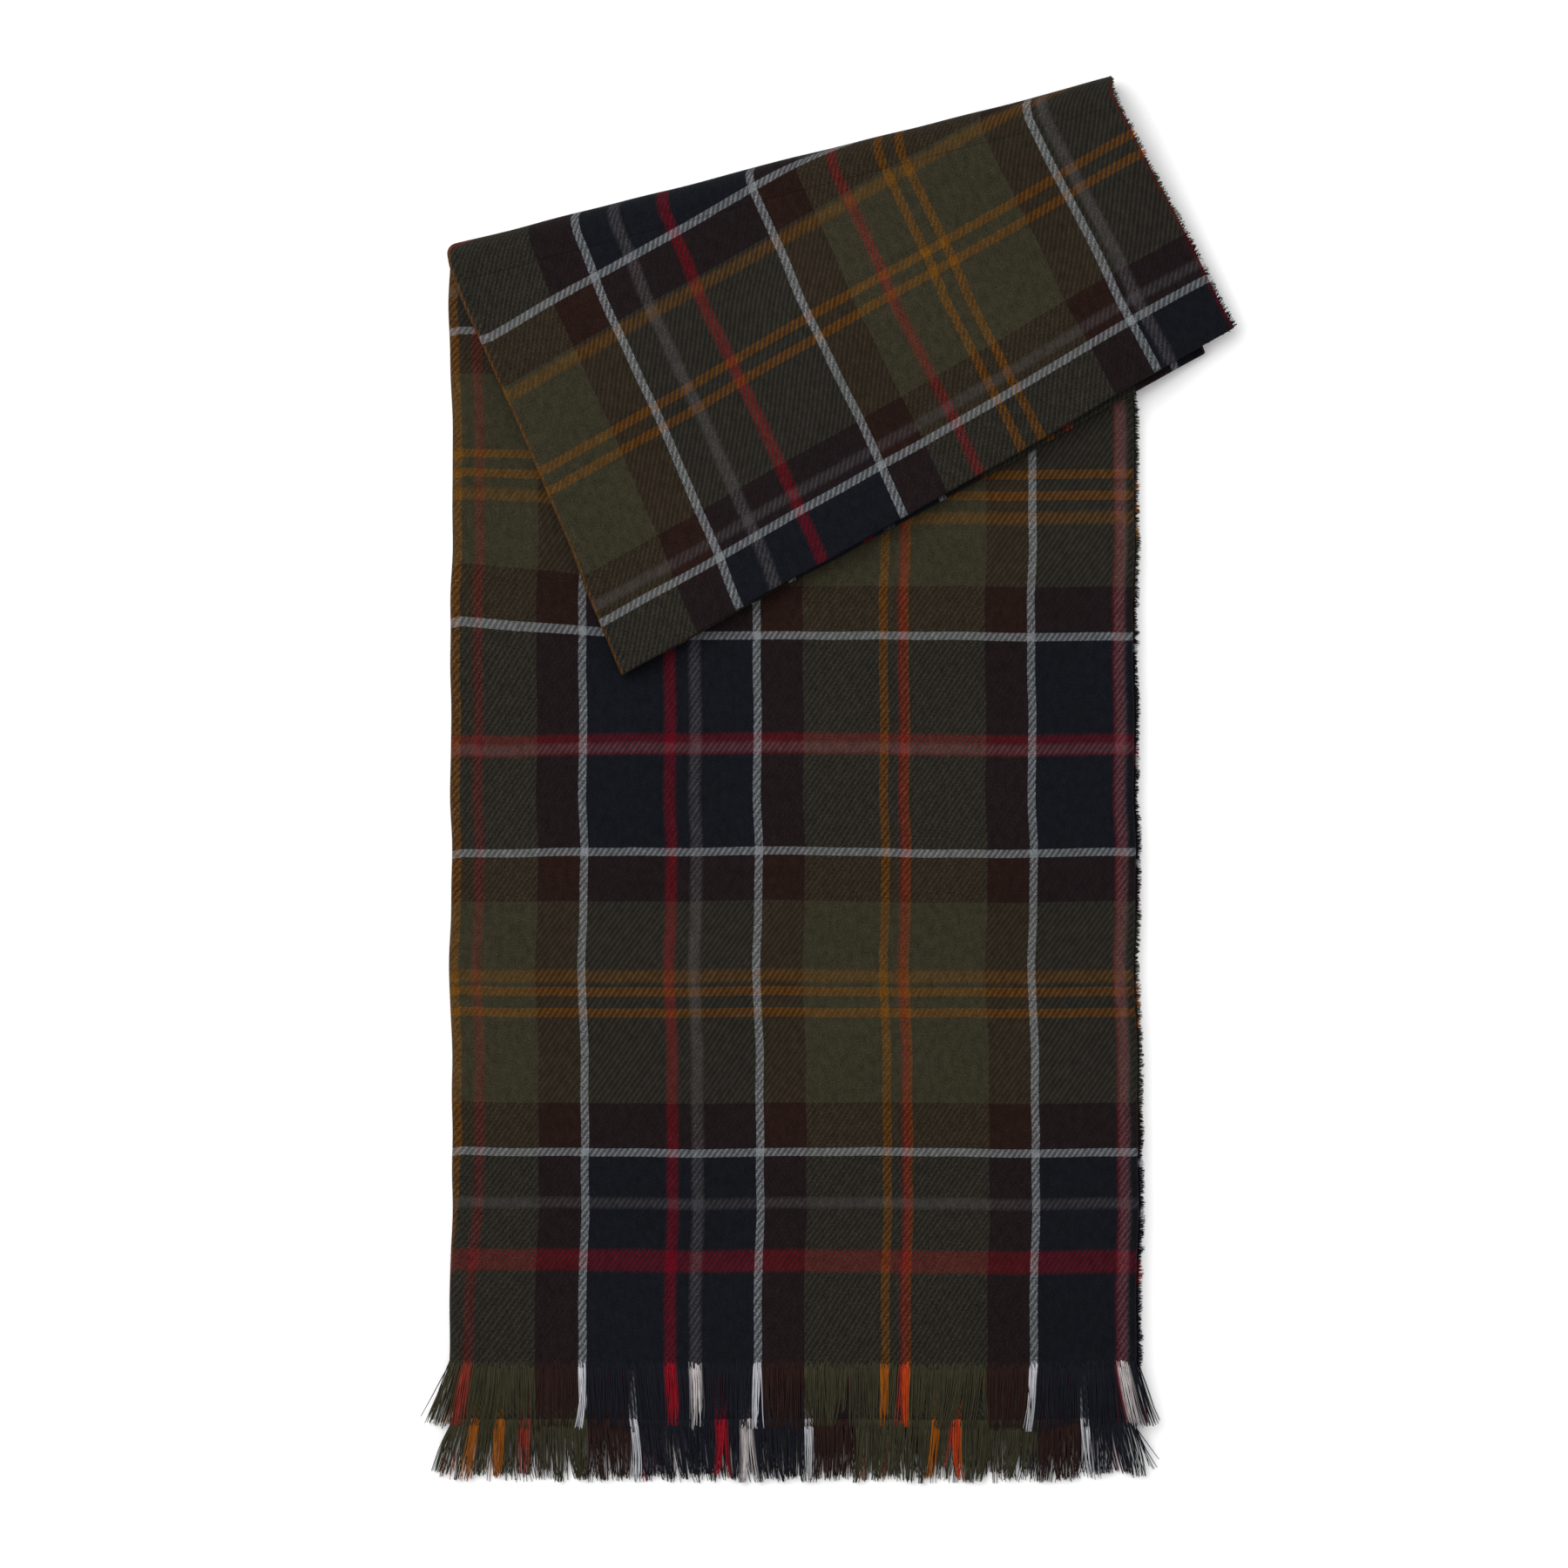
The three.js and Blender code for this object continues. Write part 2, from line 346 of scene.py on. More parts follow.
def crown_rows(leaf, samples):
    """The leaf's turn over the crown, from the flap's side to the bundle's."""
    start = crown_start(leaf, samples)
    offset, levels = fold_profile(samples, leaf.level)
    base = row_points(leaf.crown, samples, offset)
    flap_side = np.linspace(1 - crown_share(leaf, leaf.flap_end[0]), 1, ARC_STEPS + 1)[:-1]
    body_side = np.linspace(0, crown_share(leaf, leaf.end[0]), ARC_STEPS + 1)[1:]
    rows = [flap_row(leaf, samples, share) for share in flap_side]
    for angle in np.linspace(QUARTER_TURN, -QUARTER_TURN, 4 * ARC_STEPS + 1):
        flat = base + CROWN_OUT * (levels * math.cos(angle))[:, None]
        passed = (QUARTER_TURN - angle) * (leaf.level + CROWN_SLACK / math.pi)
        rows.append((flat, CROWN_HEIGHT + levels * math.sin(angle), start + passed))
    return rows + [body_row(leaf, samples, share) for share in body_side]


def body_rows(leaf, samples, pitch):
    """The leaf in the bundle, from the crown's sheet to the row that the fringe hangs from."""
    steps = max(2, round(np.linalg.norm(leaf.end[0] - leaf.crown[0]) / pitch))
    first = crown_share(leaf, leaf.end[0])
    return [body_row(leaf, samples, share) for share in np.linspace(first, 1, steps + 1)]


def units(vectors):
    return vectors / np.maximum(np.linalg.norm(vectors, axis=-1, keepdims=True), LEAST)


def mesh_piece(name, vertices, faces, corner_uv, material):
    """A smooth mesh with the cloth's u and v at each corner of its faces."""
    mesh = bpy.data.meshes.new(name)
    mesh.from_pydata(vertices, [], faces)
    mesh.uv_layers.new(name="cloth").data.foreach_set("uv", corner_uv.ravel())
    mesh.polygons.foreach_set("use_smooth", [True] * len(faces))
    mesh.update()
    mesh.materials.append(material)
    return linked(name, mesh)


def linked(name, data):
    made = bpy.data.objects.new(name, data)
    bpy.context.scene.collection.objects.link(made)
    return made


def cloth_piece(name, points, u, v, material):
    """A closed sheet CLOTH_THICKNESS thick about a grid of points."""
    normal = units(np.cross(np.gradient(points, axis=0), np.gradient(points, axis=1)))
    rows, columns = points.shape[:2]
    count = rows * columns
    vertices = np.concatenate([(points + side * normal * CLOTH_THICKNESS / 2).reshape(-1, 3)
                               for side in (1, -1)])
    index = np.arange(count).reshape(rows, columns)
    upper = np.stack([index[:-1, :-1], index[1:, :-1], index[1:, 1:], index[:-1, 1:]], -1).reshape(-1, 4)
    under = upper[:, ::-1] + count
    rim = np.concatenate([index[::-1, 0], index[0, 1:], index[1:, -1], index[-1, -2:0:-1]])
    following = np.roll(rim, -1)
    walls = np.stack([rim, following, following + count, rim + count], 1)
    faces = np.concatenate([upper, under, walls])
    uv = np.tile(np.stack([u.ravel(), v.ravel()], 1), (2, 1))
    return mesh_piece(name, vertices, faces.tolist(), uv[faces.ravel()], material)


def flap_share(height, leaf):
    """How far a point of the turn or the flap is from the bundle's side, from 0 to 1."""
    return smooth((height - CROWN_HEIGHT) / (2 * leaf.level) + 0.5)


def make_sheet(part, leaf, samples, rows, material):
    """The sheet of one of a leaf's three parts: its body, its crown or its flap."""
    points = np.array([np.column_stack([flat, height]) for flat, height, _ in rows])
    v = np.array([along for _, _, along in rows])
    u = np.broadcast_to(across_cloth(leaf, samples), v.shape)
    if part != "body":
        u = u - FOLD_DRIFT * flap_share(points[..., 2], leaf)
    elif leaf.quarter == "front":
        u = rolled(u, points[..., 0], points[..., 1])
    points = soften(points)
    name = f"{part}_sheet_{leaf.name}"
    piece = cloth_piece(name, points, u, v if leaf.layer == "a" else -v, material)
    return piece


def blend_over_crown(piece):
    """Bakes a piece's placement into its mesh; the piece is not bent with the flap."""
    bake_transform(piece)


def make_leaf(leaf, samples, pitch, material):
    """The three sheets of a leaf: in the bundle, over the crown and in the flap."""
    body = make_sheet("body", leaf, samples, body_rows(leaf, samples, pitch), material)
    crown = make_sheet("crown", leaf, samples, crown_rows(leaf, samples), material)
    flap = make_sheet("flap", leaf, samples, flap_rows(leaf, samples, pitch), material)
    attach(body, "bundle")
    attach(flap, "flap")
    blend_over_crown(crown)
    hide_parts("body_" + leaf.name)
    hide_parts("flap_" + leaf.name)
    return {"body": body, "crown": crown, "flap": flap}


# ---------------------------------------------------------------- loose yarns
YARN_RADIUS = 0.27 * MM
YARN_SIDES = 5
FRINGE_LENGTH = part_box("fringe_front_a")[1][1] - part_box("fringe_front_a")[0][1]
FRINGE_PITCH = {"front_a": 0.34 * MM, "front_b": 0.38 * MM, "back_a": 0.6 * MM}
HIDDEN_FRINGE_PITCH = 1.3 * MM
FRINGE_RINGS = 10
FRINGE_ROOT = {"a": 4 * MM, "b": 1 * MM}  # how far up the cloth the longest of a layer's yarns come loose
ROOT_SHARE = (0.1, 1)  # and how much of that a yarn may have
FRINGE_FALL = {"a": 0.12, "b": 0.62}  # how much of its height above the floor a layer's yarns lose
YARN_UNEVEN = 0.02
LONGEST_YARN = 1.05
YARN_LEAN = 0.012
STRAY_SHARE, STRAY_LEAN = 0.06, 0.16  # how many yarns stray from their tuft, and how far they lean
STEEPEST_LEAN = 0.7
EDGE_FAN, EDGE_FAN_POWER = 0.42, 9  # the yarns at both ends of the fringe lean outwards
SLOW_LEAN = 0.05  # the lean that changes slowly along the fringe
CURL_HEIGHT, CURL_TURNS, CURL_START = (0.05 * MM, 0.22 * MM), (3, 9), (0, 6)
YARN_LIFT = (-0.2 * MM, 0.7 * MM)
YARN_PROUD = CLOTH_THICKNESS / 2 - YARN_RADIUS / 3  # how far a yarn's root stands above the cloth's middle
YARN_TAPER = 0.35
YARN_THICKNESS = (0.85, 1.12)

TUFT_WIDTH = 6 * MM  # the yarns within it cling together
TUFT_SPREAD = (0.5, 1.5)
TUFT_CLOSING = {"a": 0.12, "b": 0.32}  # how far a tuft's yarns draw together at their tips
TUFT_LENGTH, TUFT_UNEVEN = 0.96, {"a": 0.03, "b": 0.06}  # a tuft's share of the fringe's length
TUFT_LEAN = 0.025
TUFT_BEND = 0.05

TAIL_LENGTH = 2.5 * MM
TAIL_UNEVEN = (0.6, 1.15)
TAIL_PITCH = 0.34 * MM
TAIL_RINGS = 4
TAIL_ROOT = 0.6 * MM  # how far inside the edge the tails begin
TAIL_LEAN = 0.3
TAIL_DROOP, DROOP_ABOVE = 0.25, 2 * MM  # how much a tail hangs down, where it is this far off the floor
TAIL_LIFT = (-0.2 * MM, 0.3 * MM)
TAIL_THICKNESS, TAIL_TAPER = 1.05, 0.5
CLUMP_WIDTH = 2.6 * MM  # the tails within it cling together
CLUMP_LEAN = 0.22
CLUMP_LENGTH = (0.72, 1.1)


def yarns_piece(name, paths, radii, u, v, material):
    """Tapered tubes along paths, an array of (yarn, ring, xyz), closed at both ends."""
    along = units(np.gradient(paths, axis=1))
    side = units(np.cross(along, [0, 0, 1.0]))
    up = np.cross(side, along)
    angles = np.linspace(0, 2 * math.pi, YARN_SIDES, endpoint=False)[:, None]
    circle = np.cos(angles) * side[:, :, None] + np.sin(angles) * up[:, :, None]
    points = paths[:, :, None] + circle * radii[:, :, None, None]
    index = np.arange(points[..., 0].size).reshape(points.shape[:3])
    turned = np.roll(index, -1, axis=2)
    walls = np.stack([index[:, :-1], turned[:, :-1], turned[:, 1:], index[:, 1:]], -1).reshape(-1, 4)
    first, last = index[:, 0, ::-1], index[:, -1]
    faces = walls.tolist() + first.tolist() + last.tolist()
    uv = np.repeat(np.stack([u, v], -1), YARN_SIDES, axis=1).reshape(-1, 2)
    corners = np.concatenate([walls.ravel(), first.ravel(), last.ravel()])
    piece = mesh_piece(name, points.reshape(-1, 3), faces, uv[corners], material)
    return piece


def places_along(line, pitch):
    """Evenly spaced places along a line: the distance and the point of each, and the line's own distances."""
    steps = np.linalg.norm(np.diff(line, axis=0), axis=1)
    distances = np.concatenate([[0], np.cumsum(steps)])
    count = round(distances[-1] / pitch)
    at = (np.arange(count) + 0.5) * distances[-1] / count
    points = np.column_stack([np.interp(at, distances, line[:, i]) for i in range(3)])
    return at, points, distances


class Tufts:
    """The middle, lean, bend and length of the tuft that each yarn of a fringe clings to."""

    def __init__(self, at, width, uneven, random):
        widths = TUFT_WIDTH * random.uniform(*TUFT_SPREAD, round(2 * width / TUFT_WIDTH))
        borders = np.cumsum(widths)
        middles = np.concatenate([[borders[0] / 2], (borders[1:] + borders[:-1]) / 2])
        own = np.searchsorted(borders, at)
        count = len(borders) + 1
        self.middle = middles[own]
        self.lean = random.normal(0, TUFT_LEAN, count)[own]
        self.bend = random.normal(0, TUFT_BEND, count)[own]
        self.length = random.normal(TUFT_LENGTH, uneven, count)[own]


def fringe_line(leaf, samples):
    """The edge that a leaf's fringe hangs from, with the cloth's u and v along it."""
    flat, height, v = body_row(leaf, samples, 1)
    u = across_cloth(leaf, samples)
    if leaf.quarter == "front":
        u = rolled(u, flat[:, 0], flat[:, 1])
    return np.column_stack([flat, height]), u, v


def fringe_lean(at, width, tufts, random):
    """How far sideways each yarn leans for each unit of its length."""
    stray = (random.uniform(0, 1, len(at)) < STRAY_SHARE) * random.normal(0, STRAY_LEAN, len(at))
    place = at / width * 2 - 1
    fan = EDGE_FAN * np.sign(place) * np.abs(place) ** EDGE_FAN_POWER
    slow = SLOW_LEAN * waves(at, np.zeros_like(at))
    return tufts.lean + fan + slow + random.normal(0, YARN_LEAN, len(at)) + stray


def fringe_paths(leaf, at, root, width, random):
    """The yarns' paths from their roots, as (yarn, ring, xyz), and how far along its yarn each ring is."""
    def column(low, high):
        return random.uniform(low, high, len(at))[:, None]

    share = np.linspace(0, 1, FRINGE_RINGS)[None]
    tufts = Tufts(at, width, TUFT_UNEVEN[leaf.layer], random)
    lean = fringe_lean(at, width, tufts, random)[:, None]
    length = FRINGE_LENGTH * tufts.length * random.normal(1, YARN_UNEVEN, len(at))
    down = share * np.minimum(length, FRINGE_LENGTH * LONGEST_YARN)[:, None]
    closing = TUFT_CLOSING[leaf.layer] * (tufts.middle - at)[:, None] * share ** 3
    curl = column(*CURL_HEIGHT) * np.sin(share * column(*CURL_TURNS) + column(*CURL_START))
    x = root[:, :1] + closing + down * (lean + tufts.bend[:, None] * share ** 2) + curl
    above = FRINGE_ROOT[leaf.layer] * column(*ROOT_SHARE)
    upright = np.sqrt(1 - np.clip(lean, -STEEPEST_LEAN, STEEPEST_LEAN) ** 2)
    y = root[:, 1:2] + above - (down + above * share) * upright
    lift = column(*YARN_LIFT) * smooth(share * 3)
    proud = YARN_PROUD * (1 - smooth(share * 4))
    z = root[:, 2:] * (1 - FRINGE_FALL[leaf.layer] * smooth(share)) + lift + proud
    return np.stack([x, y, np.maximum(z, YARN_RADIUS)], -1), down


def make_fringe(leaf, samples, random, material):
    """The loose warp ends that hang from the lower edge of a leaf."""
    line, u_line, v_line = fringe_line(leaf, samples)
    at, root, distances = places_along(line, FRINGE_PITCH.get(leaf.name, HIDDEN_FRINGE_PITCH))
    paths, down = fringe_paths(leaf, at, soften(root), distances[-1], random)
    taper = 1 - YARN_TAPER * np.linspace(0, 1, FRINGE_RINGS) ** 2
    radii = YARN_RADIUS * taper * random.uniform(*YARN_THICKNESS, len(at))[:, None]
    u = np.interp(at, distances, u_line)[:, None] + np.zeros_like(down)
    v = np.interp(at, distances, v_line)[:, None] + down
    piece = yarns_piece("fringe_yarns_" + leaf.name, paths, radii, u, v, material)
    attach(piece, "bundle")
    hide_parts("fringe_" + leaf.name)


def raw_edge(leaf, rows):
    """The points and the cloth's v along a leaf's right edge."""
    edge = np.array([[*flat[-1], height[-1]] for flat, height, _ in rows])
    v = np.array([along[-1] for _, _, along in rows])
    return soften(edge), v if leaf.layer == "a" else -v


def make_tails(part, leaf, rows, outward, random, material):
    """The cut weft ends along a leaf's raw edge, for one of its three parts."""
    edge, v_edge = raw_edge(leaf, rows)
    at, root, distances = places_along(edge, TAIL_PITCH)
    clump = np.floor(at / CLUMP_WIDTH).astype(int)
    clump_lean = random.normal(0, CLUMP_LEAN, clump[-1] + 1)[clump]
    clump_length = random.uniform(*CLUMP_LENGTH, clump[-1] + 1)[clump]
    length = TAIL_LENGTH * clump_length * random.uniform(*TAIL_UNEVEN, len(at))
    lean = clump_lean + random.normal(0, TAIL_LEAN, len(at))
    share = np.linspace(0, 1, TAIL_RINGS)
    down = share * length[:, None]
    sideways = np.array([-outward[1], outward[0]])
    flat = (root[:, None, :2] + (down - TAIL_ROOT)[..., None] * outward
            + (down * lean[:, None])[..., None] * sideways)
    droop = TAIL_DROOP * down * (root[:, 2:] > DROOP_ABOVE)
    z = root[:, 2:] - droop + random.uniform(*TAIL_LIFT, len(at))[:, None]
    paths = np.concatenate([flat, np.maximum(z, YARN_RADIUS)[..., None]], -1)
    radii = YARN_RADIUS * (TAIL_THICKNESS - TAIL_TAPER * share) + np.zeros_like(down)
    v = np.interp(at, distances, v_edge)[:, None] + np.zeros_like(down)
    return yarns_piece(f"tails_{part}_{leaf.name}", paths, radii, np.zeros_like(v), v, material)


def make_raw_edges(leaf, samples, random, material):
    """The tails along a leaf's raw edge, in the bundle and in the flap, and over the crown if it shows."""
    body = make_tails("body", leaf, body_rows(leaf, samples, COARSE_PITCH), np.array([1.0, 0.0]),
                      random, material)
    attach(body, "bundle")
    across = leaf.flap_end[1] - leaf.flap_end[0]
    flap = make_tails("flap", leaf, flap_rows(leaf, samples, COARSE_PITCH),
                      across / np.linalg.norm(across), random, material)
    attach(flap, "flap")
    if leaf is BACK:
        crown = make_tails("crown", leaf, crown_rows(leaf, samples), CROWN_ALONG, random, material)
        blend_over_crown(crown)
        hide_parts("body_selvedge")
        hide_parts("flap_selvedge")


# ---------------------------------------------------------------- materials
def linear(red, green, blue):
    """A colour as seen, from 0 to 255, in the renderer's linear light."""
    def one(value):
        share = value / 255
        return share / 12.92 if share <= 0.04045 else ((share + 0.055) / 1.055) ** 2.4
    return (one(red), one(green), one(blue), 1.0)


# Each yarn's colour where it lies in the cloth, and where it hangs loose in the light. The colour in the
# cloth is darker: partly painted shade for the fibres shading one another, and partly the fuzz of other yarns
# mixed in.
YARNS = {
    "green": (linear(43, 40, 29), linear(48, 46, 32)),
    "navy": (linear(15, 16, 21), linear(19, 20, 28)),
    "brown": (linear(29, 17, 14), linear(36, 21, 18)),
    "white": (linear(101, 104, 107), linear(160, 161, 166)),
    "orange": (linear(84, 53, 13), linear(122, 66, 12)),
    "red": (linear(82, 4, 19), linear(124, 8, 24)),
    "dark_red": (linear(112, 10, 20), linear(176, 14, 20)),
    "pale": (linear(96, 92, 95), linear(164, 158, 158)),
    "amber": (linear(88, 58, 14), linear(145, 88, 18)),
}
# Which of a yarn's two colours is used: the one in the cloth, darkened with painted shade, or the loose one
IN_CLOTH_SHADED, LOOSE = 0, 1

# The bands repeat about the middle of a pair of orange lines. Each is (limit, yarn), with the limit
# measured from that middle towards the middle of the navy block, in millimetres.
WARP_MIDDLE = -2.6 * MM
WARP_HALF_REPEAT = 102.9 * MM
WARP_BANDS = [(2.5, "green"), (6.6, "orange"), (41.5, "green"), (60.8, "brown"), (64.4, "white"),
              (103.0, "navy")]
WEFT_MIDDLE = 94.8 * MM
WEFT_HALF_REPEAT = 119.2 * MM
WEFT_BANDS = [(2.6, "green"), (6.8, "orange"), (46.5, "green"), (67.2, "brown"), (71.0, "white"),
              (119.3, "navy")]
# Brushed lines: (place of one, distance to the next, width, yarn, cover), in millimetres
WARP_LINES = [(100.3, 205.8, 5.0, "red", 0.95), (111.8, 195.0, 5.0, "pale", 0.27),
              (207.3, 390.0, 4.4, "dark_red", 0.5), (12.3, 390.0, 4.4, "dark_red", 0.3)]
WEFT_LINES = [(214.0, 238.4, 9.6, "red", 0.8), (33.5, 210.3, 4.6, "pale", 0.22),
              (136.8, 211.4, 5.6, "amber", 0.65)]
FRAY = 1.8 * MM  # how far a brushed line's edge blurs into the cloth
STRAY = 0.9 * MM  # how far single fibres stray across a band's edge

# Noise over the cloth, as (scale, detail, roughness), and how it is stretched
FUZZ_NOISE = (700, 3.0, 0.6)
STRAY_NOISE = (1500, 2.0, 0.5)
RIB_NOISE = (900, 2.0, 0.5)
GRAIN_NOISE = (1350, 3.0, 0.75)
PILE_NOISE = (330, 3.0, 0.65)
CLOUD_NOISE = (16, 3.0, 0.55)
TWIST_NOISE = (700, 2.0, 0.5)
STREAK_NOISE = (2600, 1.0, 0.5)
PILE_STRETCH = (1, 0.6, 1)
TWIST_STRETCH = (1, 0.3, 1)
STREAK_STRETCH = (1, 0.02, 1)

RIB_STRAY = 0.45  # how much the ribs wander, as a share of their pitch
FLECKS = 4.4  # how much the fibres of warp and weft mix
RIB_CONTRAST = 0.27  # how far the ribs part the colours of warp and weft
RIB_LIGHT, GROOVE_LIGHT = 0.26, 0.82
GRAIN_SHADE, PILE_SHADE, CLOUD_SHADE = 2.6, 1.2, 0.35
GRAIN_RELIEF = 2.0  # the grain's height beside the ribs'
PLY_SHADE = 0.9
SPECULAR = 0.04
SHEEN_ROUGHNESS = 0.5


class Nodes:
    """A short way to write a material's nodes."""

    def __init__(self, tree):
        self.tree = tree

    def add(self, kind, **settings):
        node = self.tree.nodes.new(kind)
        for key, value in settings.items():
            setattr(node, key, value)
        return node

    def feed(self, socket, value):
        """Links a socket to another, or sets its value."""
        if isinstance(value, bpy.types.NodeSocket):
            self.tree.links.new(value, socket)
        else:
            socket.default_value = value

    def math(self, operation, *inputs, clamp=False):
        node = self.add("ShaderNodeMath", operation=operation, use_clamp=clamp)
        for socket, value in zip(node.inputs, inputs):
            self.feed(socket, value)
        return node.outputs[0]

    def around(self, noise, gain, middle=1.0):
        """Noise from 0 to 1, spread about a middle."""
        return self.math("MULTIPLY_ADD", noise, gain, middle - gain / 2)

    def mix(self, factor, first, second):
        node = self.add("ShaderNodeMix", data_type="RGBA")
        for socket, value in zip((node.inputs[0], node.inputs[6], node.inputs[7]), (factor, first, second)):
            self.feed(socket, value)
        return node.outputs[2]

    def noise(self, kind, stretch=(1, 1, 1)):
        mapping = self.add("ShaderNodeMapping")
        self.feed(mapping.inputs["Vector"], self.cloth_place())
        self.feed(mapping.inputs["Scale"], stretch)
        node = self.add("ShaderNodeTexNoise")
        self.feed(node.inputs["Vector"], mapping.outputs[0])
        for socket, value in zip(("Scale", "Detail", "Roughness"), kind):
            self.feed(node.inputs[socket], value)
        return node.outputs["Fac"]

    def cloth_place(self):
        return self.add("ShaderNodeUVMap", uv_map="cloth").outputs[0]

    def cloth_axes(self):
        split = self.add("ShaderNodeSeparateXYZ")
        self.feed(split.inputs[0], self.cloth_place())
        return split.outputs[0], split.outputs[1]


def banded(nodes, place, middle, half_repeat, bands, look):
    """The colour of a yarn at this place across the bands."""
    away = nodes.math("PINGPONG", nodes.math("SUBTRACT", place, middle), half_repeat)
    ramp = nodes.add("ShaderNodeValToRGB")
    ramp.color_ramp.interpolation = "CONSTANT"
    stops = ramp.color_ramp.elements
    stops[0].position, stops[0].color = 0, YARNS[bands[0][1]][look]
    stops.remove(stops[1])
    for (limit, _), (_, yarn) in zip(bands, bands[1:]):
        stops.new(limit * MM / half_repeat).color = YARNS[yarn][look]
    nodes.feed(ramp.inputs[0], nodes.math("DIVIDE", away, half_repeat))
    return ramp.outputs[0]


def brushed_line(nodes, colour, place, line, fuzz, look):
    """Mixes in a raised, brushed line whose edges blur into the cloth."""
    at, repeat, width, yarn, cover = line
    away = nodes.math("PINGPONG", nodes.math("SUBTRACT", place, at * MM), repeat * MM / 2)
    frayed = nodes.math("MULTIPLY_ADD", nodes.math("SUBTRACT", fuzz, 0.5), FRAY, away)
    inside = nodes.math("DIVIDE", nodes.math("SUBTRACT", width / 2 * MM + FRAY / 2, frayed), FRAY, clamp=True)
    cover = 1.0 if look == LOOSE and yarn == "pale" else cover
    return nodes.mix(nodes.math("MULTIPLY", inside, cover), colour, YARNS[yarn][look])


def yarn_colours(nodes, u, v, look):
    """The colours of the warp and of the weft at each place on the cloth."""
    fuzz, u_stray, v_stray = 0.5, u, v
    if look == IN_CLOTH_SHADED:
        fuzz = nodes.noise(FUZZ_NOISE)
        stray = nodes.around(nodes.noise(STRAY_NOISE), STRAY, 0)
        u_stray, v_stray = nodes.math("ADD", u, stray), nodes.math("ADD", v, stray)
    warp = banded(nodes, u_stray, WARP_MIDDLE, WARP_HALF_REPEAT, WARP_BANDS, look)
    for line in WARP_LINES:
        warp = brushed_line(nodes, warp, u, line, fuzz, look)
    weft = banded(nodes, v_stray, WEFT_MIDDLE, WEFT_HALF_REPEAT, WEFT_BANDS, look)
    for line in WEFT_LINES:
        weft = brushed_line(nodes, weft, v, line, fuzz, look)
    return warp, weft


def new_material(name, roughness, sheen):
    material = bpy.data.materials.new(name)
    material.use_nodes = True
    nodes = Nodes(material.node_tree)
    shader = material.node_tree.nodes["Principled BSDF"]
    shader.inputs["Roughness"].default_value = roughness
    shader.inputs["Sheen Weight"].default_value = sheen
    shader.inputs["Sheen Roughness"].default_value = SHEEN_ROUGHNESS
    shader.inputs["Specular IOR Level"].default_value = SPECULAR
    return material, nodes, shader


def shade_colour(nodes, shader, colour, shade):
    scaled = nodes.add("ShaderNodeVectorMath", operation="SCALE")
    nodes.feed(scaled.inputs[0], colour)
    nodes.feed(scaled.inputs["Scale"], shade)
    nodes.feed(shader.inputs["Base Color"], scaled.outputs[0])


def raise_surface(nodes, shader, height, strength, distance):
    bump = nodes.add("ShaderNodeBump")
    nodes.feed(bump.inputs["Strength"], strength)
    nodes.feed(bump.inputs["Distance"], distance)
    nodes.feed(bump.inputs["Height"], height)
    nodes.feed(shader.inputs["Normal"], bump.outputs[0])


def twill(nodes, u, v):
    """The height of the ribs, from -1 where the weft is on top to 1 where the warp is."""
    across = nodes.math("DIVIDE", u, WARP_PITCH * TWILL_YARNS)
    along = nodes.math("DIVIDE", v, WEFT_PITCH * TWILL_YARNS)
    stray = nodes.math("MULTIPLY", nodes.noise(RIB_NOISE), RIB_STRAY)
    phase = nodes.math("ADD", nodes.math("ADD", across, along), stray)
    return nodes.math("SINE", nodes.math("MULTIPLY", phase, 2 * math.pi))


def tartan_material():
    """Brushed 2/2 twill: warp and weft take turns on top along slanting ribs."""
    material, nodes, shader = new_material("tartan_twill", roughness=0.9, sheen=0.012)
    u, v = nodes.cloth_axes()
    # The yarns' colours in the cloth, darkened with painted shade for the fibres shading one another
    warp, weft = yarn_colours(nodes, u, v, IN_CLOTH_SHADED)
    rib = twill(nodes, u, v)
    grain = nodes.noise(GRAIN_NOISE)
    flecked = nodes.math("ADD", rib, nodes.around(grain, FLECKS, 0))
    warp_on_top = nodes.math("MULTIPLY_ADD", flecked, RIB_CONTRAST, 0.5, clamp=True)
    colour = nodes.mix(warp_on_top, weft, warp)

    # Shade between the ribs, flecks of the mixed fibres, and slow changes from brushing
    height = nodes.math("ABSOLUTE", rib)
    shade = nodes.math("MULTIPLY_ADD", height, RIB_LIGHT, GROOVE_LIGHT)
    pile, clouds = nodes.noise(PILE_NOISE, PILE_STRETCH), nodes.noise(CLOUD_NOISE)
    for noise, gain in ((grain, GRAIN_SHADE), (pile, PILE_SHADE), (clouds, CLOUD_SHADE)):
        shade = nodes.math("MULTIPLY", shade, nodes.around(noise, gain))
    shade_colour(nodes, shader, colour, shade)
    relief = nodes.math("MULTIPLY_ADD", grain, GRAIN_RELIEF, height)
    raise_surface(nodes, shader, relief, strength=0.35, distance=0.25 * MM)
    nodes.feed(shader.inputs["Roughness"], nodes.around(grain, 0.2, 0.9))
    return material


def loose_yarn_material(name, is_weft):
    """Loose ends in the colour of their own yarn, with the twist of its plies."""
    material, nodes, shader = new_material(name, roughness=0.75, sheen=0.03)
    warp, weft = yarn_colours(nodes, *nodes.cloth_axes(), LOOSE)
    twist = nodes.noise(TWIST_NOISE, TWIST_STRETCH)
    streak = nodes.noise(STREAK_NOISE, STREAK_STRETCH)
    shade = nodes.math("MULTIPLY", nodes.around(twist, PLY_SHADE), nodes.around(streak, PLY_SHADE))
    shade_colour(nodes, shader, weft if is_weft else warp, shade)
    raise_surface(nodes, shader, twist, strength=0.5, distance=0.2 * MM)
    return material


